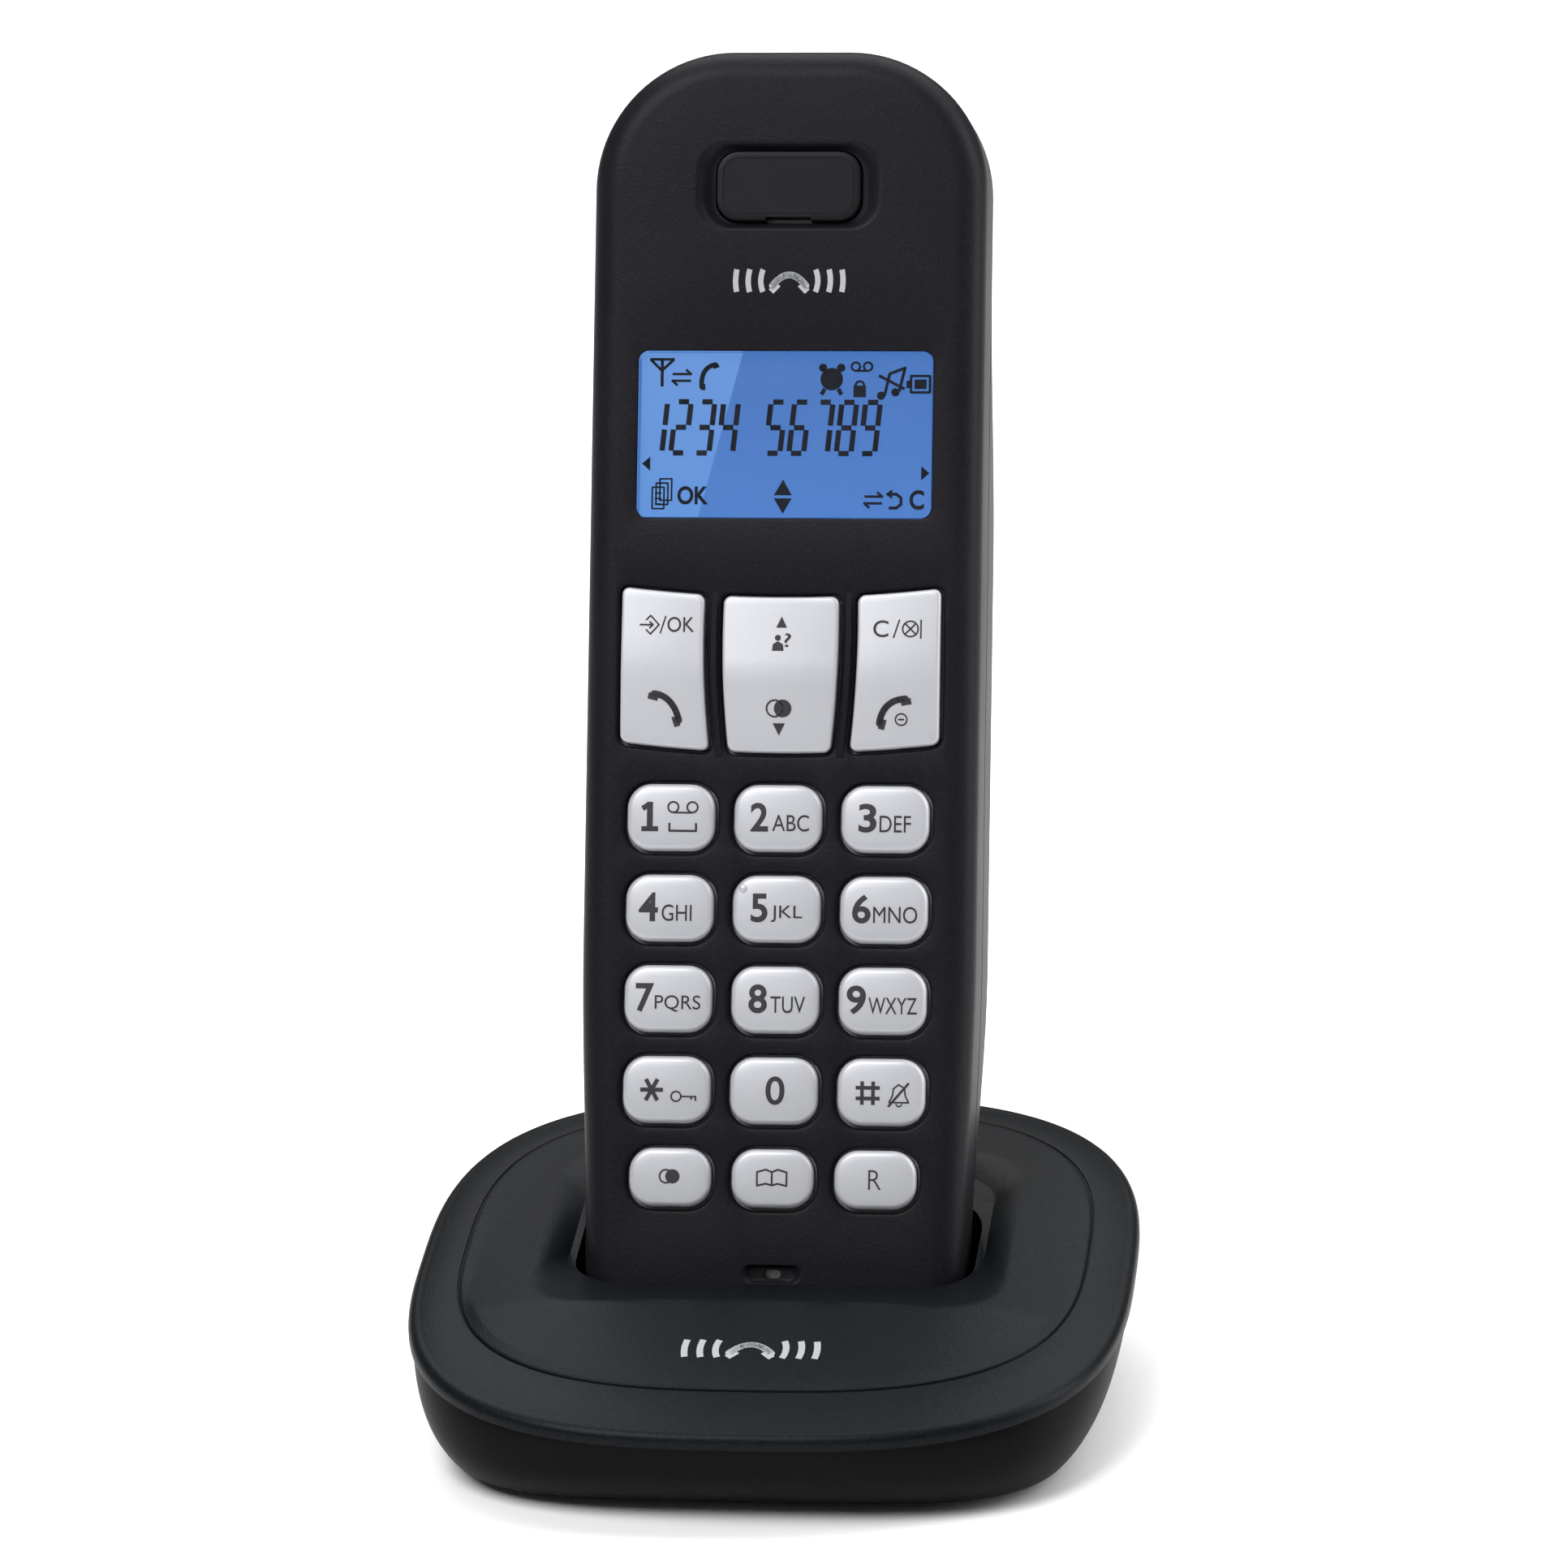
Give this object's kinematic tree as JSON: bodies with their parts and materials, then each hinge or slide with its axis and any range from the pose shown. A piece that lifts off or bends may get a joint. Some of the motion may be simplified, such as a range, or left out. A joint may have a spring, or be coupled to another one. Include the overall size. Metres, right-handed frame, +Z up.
{
  "type": "cordless telephone with charging cradle",
  "caption": "Slim black handset with silver keys and a back-lit display, standing in a low squared-oval charging cradle.",
  "frame": {"origin": "on the surface that the cradle stands on, under the middle of the cradle's rim", "axes": "+Z up, +X to the right and +Y to the back as the user faces the keys"},
  "size_m": [0.085, 0.1019, 0.1534],
  "materials": {
    "handset_black": "fine textured matt",
    "cradle_black": "fine textured matt with a faint sparkle",
    "key_silver": "satin silver paint",
    "lens_clear": "clear gloss",
    "lcd_blue": "back-lit blue",
    "panel_white": "white diffuser",
    "board_green": "solder mask",
    "steel": "bright",
    "contact_gold": "gold plated",
    "silicone_grey": "soft silicone",
    "foot_rubber": "matt rubber",
    "part_dark": "moulded",
    "cell_sleeve": "shrink sleeve"
  },
  "bodies": {
    "base": {"base_bottom_shell": "cradle_black", "base_top_cover": "cradle_black", "rubber_feet": "foot_rubber", "base_screws": "steel", "base_circuit_board": "board_green", "base_rf_shield": "steel", "base_antennas": "contact_gold", "base_capacitors": "part_dark", "line_socket": "part_dark", "line_socket_contacts": "contact_gold", "power_socket": "part_dark", "power_socket_pin": "steel", "page_switch": "steel"},
    "handset": {"handset_front_shell": "handset_black", "handset_back_shell": "handset_black", "handset_screws": "steel", "battery_cell_left": "cell_sleeve", "battery_cell_right": "cell_sleeve", "battery_contacts": "steel", "charge_pad_left": "contact_gold", "charge_pad_right": "contact_gold", "earpiece_cap": "handset_black", "receiver_capsule": "steel", "microphone_capsule": "steel", "ringer_speaker": "part_dark", "display_lens": "lens_clear", "lcd_glass": "lcd_blue", "backlight_panel": "panel_white", "handset_circuit_board": "board_green", "handset_rf_shield": "steel", "handset_antenna": "contact_gold", "keypad_mat": "silicone_grey", "key_domes": "steel"},
    "battery_door": {"battery_door": "handset_black"},
    "page_button": {"page_button": "part_dark"},
    "charge_contact_left": {"charge_contact_left": "contact_gold"},
    "charge_contact_right": {"charge_contact_right": "contact_gold"},
    "key_1": {"key_1": "key_silver"},
    "key_2": {"key_2": "key_silver"},
    "key_3": {"key_3": "key_silver"},
    "key_4": {"key_4": "key_silver"},
    "key_5": {"key_5": "key_silver"},
    "key_6": {"key_6": "key_silver"},
    "key_7": {"key_7": "key_silver"},
    "key_8": {"key_8": "key_silver"},
    "key_9": {"key_9": "key_silver"},
    "key_star": {"key_star": "key_silver"},
    "key_0": {"key_0": "key_silver"},
    "key_hash": {"key_hash": "key_silver"},
    "key_redial": {"key_redial": "key_silver"},
    "key_phonebook": {"key_phonebook": "key_silver"},
    "key_recall": {"key_recall": "key_silver"},
    "rocker_menu_talk": {"rocker_menu_talk": "key_silver"},
    "rocker_navigation": {"rocker_navigation": "key_silver"},
    "rocker_clear_end": {"rocker_clear_end": "key_silver"}
  },
  "joints": [
    {"name": "handset_lift", "type": "slide", "parent": "base", "child": "handset", "axis": [0, 0.3387, 0.9409], "range_m": [0, 0.06]},
    {"name": "battery_door_slide", "type": "slide", "parent": "handset", "child": "battery_door", "axis": [0, -0.3387, -0.9409], "range_m": [0, 0.016]},
    {"name": "page_button_press", "type": "slide", "parent": "base", "child": "page_button", "axis": [0, -1, 0], "range_m": [0, 0.0008], "stiffness_N_per_m": 1500},
    {"name": "charge_contact_left_dip", "type": "slide", "parent": "base", "child": "charge_contact_left", "axis": [0, -0.3387, -0.9409], "range_m": [0, 0.0008], "stiffness_N_per_m": 800},
    {"name": "charge_contact_right_dip", "type": "slide", "parent": "base", "child": "charge_contact_right", "axis": [0, -0.3387, -0.9409], "range_m": [0, 0.0008], "stiffness_N_per_m": 800},
    {"name": "key_1_press", "type": "slide", "parent": "handset", "child": "key_1", "axis": [0, 0.9409, -0.3387], "range_m": [0, 0.0008], "stiffness_N_per_m": 1500},
    {"name": "key_2_press", "type": "slide", "parent": "handset", "child": "key_2", "axis": [0, 0.9409, -0.3387], "range_m": [0, 0.0008], "stiffness_N_per_m": 1500},
    {"name": "key_3_press", "type": "slide", "parent": "handset", "child": "key_3", "axis": [0, 0.9409, -0.3387], "range_m": [0, 0.0008], "stiffness_N_per_m": 1500},
    {"name": "key_4_press", "type": "slide", "parent": "handset", "child": "key_4", "axis": [0, 0.9409, -0.3387], "range_m": [0, 0.0008], "stiffness_N_per_m": 1500},
    {"name": "key_5_press", "type": "slide", "parent": "handset", "child": "key_5", "axis": [0, 0.9409, -0.3387], "range_m": [0, 0.0008], "stiffness_N_per_m": 1500},
    {"name": "key_6_press", "type": "slide", "parent": "handset", "child": "key_6", "axis": [0, 0.9409, -0.3387], "range_m": [0, 0.0008], "stiffness_N_per_m": 1500},
    {"name": "key_7_press", "type": "slide", "parent": "handset", "child": "key_7", "axis": [0, 0.9409, -0.3387], "range_m": [0, 0.0008], "stiffness_N_per_m": 1500},
    {"name": "key_8_press", "type": "slide", "parent": "handset", "child": "key_8", "axis": [0, 0.9409, -0.3387], "range_m": [0, 0.0008], "stiffness_N_per_m": 1500},
    {"name": "key_9_press", "type": "slide", "parent": "handset", "child": "key_9", "axis": [0, 0.9409, -0.3387], "range_m": [0, 0.0008], "stiffness_N_per_m": 1500},
    {"name": "key_star_press", "type": "slide", "parent": "handset", "child": "key_star", "axis": [0, 0.9409, -0.3387], "range_m": [0, 0.0008], "stiffness_N_per_m": 1500},
    {"name": "key_0_press", "type": "slide", "parent": "handset", "child": "key_0", "axis": [0, 0.9409, -0.3387], "range_m": [0, 0.0008], "stiffness_N_per_m": 1500},
    {"name": "key_hash_press", "type": "slide", "parent": "handset", "child": "key_hash", "axis": [0, 0.9409, -0.3387], "range_m": [0, 0.0008], "stiffness_N_per_m": 1500},
    {"name": "key_redial_press", "type": "slide", "parent": "handset", "child": "key_redial", "axis": [0, 0.9409, -0.3387], "range_m": [0, 0.0008], "stiffness_N_per_m": 1500},
    {"name": "key_phonebook_press", "type": "slide", "parent": "handset", "child": "key_phonebook", "axis": [0, 0.9409, -0.3387], "range_m": [0, 0.0008], "stiffness_N_per_m": 1500},
    {"name": "key_recall_press", "type": "slide", "parent": "handset", "child": "key_recall", "axis": [0, 0.9409, -0.3387], "range_m": [0, 0.0008], "stiffness_N_per_m": 1500},
    {"name": "rocker_menu_talk_tilt", "type": "hinge", "parent": "handset", "child": "rocker_menu_talk", "pos_m": [0, 0.02096, 0.08314], "axis": [1, 0, 0], "range_deg": [-3, 3], "stiffness_Nm_per_rad": 0.4},
    {"name": "rocker_navigation_tilt", "type": "hinge", "parent": "handset", "child": "rocker_navigation", "pos_m": [0, 0.02096, 0.08314], "axis": [1, 0, 0], "range_deg": [-3, 3], "stiffness_Nm_per_rad": 0.4},
    {"name": "rocker_clear_end_tilt", "type": "hinge", "parent": "handset", "child": "rocker_clear_end", "pos_m": [0, 0.02096, 0.08314], "axis": [1, 0, 0], "range_deg": [-3, 3], "stiffness_Nm_per_rad": 0.4}
  ]
}
